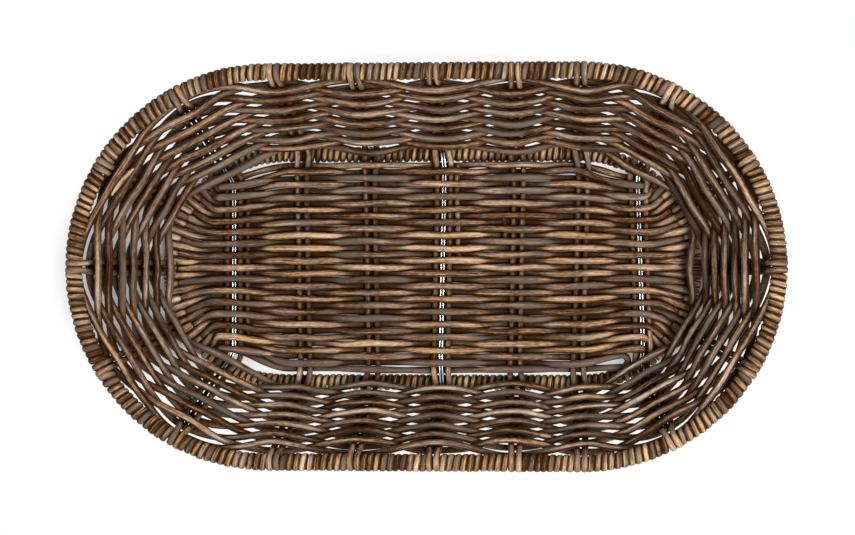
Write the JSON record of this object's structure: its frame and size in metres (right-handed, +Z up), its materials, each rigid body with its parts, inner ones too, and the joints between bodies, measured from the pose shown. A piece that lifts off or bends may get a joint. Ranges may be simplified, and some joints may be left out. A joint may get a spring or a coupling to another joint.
{
  "type": "oval basket",
  "caption": "Oval open basket woven from brown cane over a steel wire frame, with sloping walls, a cane-bound rim and a cane-bound base ring that it stands on.",
  "frame": {"origin": "on the floor under the middle of the basket", "axes": "+X along the basket's length, +Y across it, +Z up"},
  "size_m": [0.4606, 0.2606, 0.095],
  "materials": {
    "binding_cane": "lacquered round cane, golden brown",
    "wall_cane": "lacquered round cane, dark brown",
    "base_cane": "lacquered round cane, mid brown",
    "stake_cane": "lacquered round cane, dark grey brown",
    "steel": "bright drawn wire"
  },
  "bodies": {
    "root": {"base_binding_left": "binding_cane", "base_binding_right": "binding_cane", "base_hoop": "steel", "base_weaver_1": "base_cane", "base_weaver_2": "base_cane", "base_weaver_3": "base_cane", "base_weaver_4": "base_cane", "cross_stake_1_left": "stake_cane", "cross_stake_1_right": "stake_cane", "cross_stake_2_left": "stake_cane", "cross_stake_2_right": "stake_cane", "cross_stake_3_left": "stake_cane", "cross_stake_3_right": "stake_cane", "cross_stake_4_left": "stake_cane", "cross_stake_4_right": "stake_cane", "cross_stake_5_left": "stake_cane", "cross_stake_5_right": "stake_cane", "cross_stake_6_left": "stake_cane", "cross_stake_6_right": "stake_cane", "cross_stake_7_left": "stake_cane", "cross_stake_7_right": "stake_cane", "cross_wire_1": "steel", "cross_wire_4": "steel", "cross_wire_7": "steel", "end_stake_left_1_a": "stake_cane", "end_stake_left_1_b": "stake_cane", "end_stake_left_2_a": "stake_cane", "end_stake_left_2_b": "stake_cane", "end_stake_left_3_a": "stake_cane", "end_stake_left_3_b": "stake_cane", "end_stake_right_1_a": "stake_cane", "end_stake_right_1_b": "stake_cane", "end_stake_right_2_a": "stake_cane", "end_stake_right_2_b": "stake_cane", "end_stake_right_3_a": "stake_cane", "end_stake_right_3_b": "stake_cane", "end_wire_left": "steel", "end_wire_right": "steel", "rim_binding_left": "binding_cane", "rim_binding_right": "binding_cane", "rim_hoop": "steel", "wall_weaver_1": "wall_cane", "wall_weaver_10": "wall_cane", "wall_weaver_11": "wall_cane", "wall_weaver_12": "wall_cane", "wall_weaver_13": "wall_cane", "wall_weaver_14": "wall_cane", "wall_weaver_2": "wall_cane", "wall_weaver_3": "wall_cane", "wall_weaver_4": "wall_cane", "wall_weaver_5": "wall_cane", "wall_weaver_6": "wall_cane", "wall_weaver_7": "wall_cane", "wall_weaver_8": "wall_cane", "wall_weaver_9": "wall_cane"}
  },
  "joints": []
}
